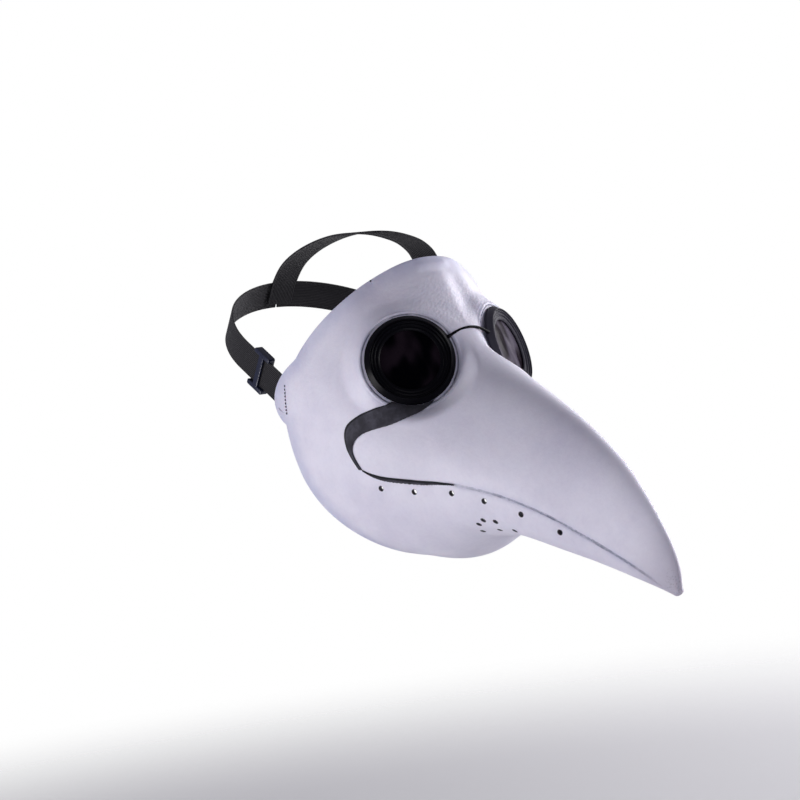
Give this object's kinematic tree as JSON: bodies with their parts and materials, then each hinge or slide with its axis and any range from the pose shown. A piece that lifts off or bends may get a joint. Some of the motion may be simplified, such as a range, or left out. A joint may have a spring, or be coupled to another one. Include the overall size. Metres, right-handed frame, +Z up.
{
  "type": "plague doctor mask",
  "caption": "Moulded half-head mask with a long drooping hollow beak, round goggles, vent holes, dark cheek trim and elastic head straps with sliders.",
  "frame": {"origin": "midline of the face at the height of the goggle centres, level with the strap tabs at the temples", "axes": "+Z up, -Y the way the beak points, +X the wearer's left"},
  "size_m": [0.1582, 0.3774, 0.2468],
  "materials": {
    "latex_white": "matte moulded latex, cool white with a lavender tint and airbrushed shade",
    "black_gloss": "glossy black moulded plastic",
    "lens_dark": "dark smoked plastic film lens",
    "flock_charcoal": "flocked charcoal trim",
    "elastic_black": "ribbed woven elastic",
    "patch_cloth": "glued cotton backing cloth",
    "thread_black": "polyester thread",
    "thread_grey": "polyester thread",
    "slider_blue": "dark blue glossy plastic"
  },
  "bodies": {
    "mask": {"mask_shell": "latex_white", "nose_bridge_wire": "black_gloss", "top_strap": "elastic_black", "top_patch": "patch_cloth", "rear_stitches": "thread_black", "goggle_rim_left": "black_gloss", "goggle_rim_right": "black_gloss", "goggle_bezel_left": "black_gloss", "goggle_bezel_right": "black_gloss", "goggle_lens_left": "lens_dark", "goggle_lens_right": "lens_dark", "goggle_retainer_left": "black_gloss", "goggle_retainer_right": "black_gloss", "cheek_band_left": "flock_charcoal", "cheek_band_right": "flock_charcoal", "mouth_strip_left": "flock_charcoal", "mouth_strip_right": "flock_charcoal", "tab_patch_left": "patch_cloth", "tab_patch_right": "patch_cloth", "tab_stitches_left": "thread_grey", "tab_stitches_right": "thread_grey", "side_strap_left": "elastic_black", "side_strap_right": "elastic_black"},
    "slider_left": {"strap_slider_left": "slider_blue"},
    "slider_right": {"strap_slider_right": "slider_blue"}
  },
  "joints": [
    {"name": "slider_left_slide", "type": "slide", "parent": "mask", "child": "slider_left", "axis": [0, 0.8191, 0.5736], "range_m": [-0.014, 0.011]},
    {"name": "slider_right_slide", "type": "slide", "parent": "mask", "child": "slider_right", "axis": [0, 0.8191, 0.5736], "range_m": [-0.014, 0.011]}
  ]
}
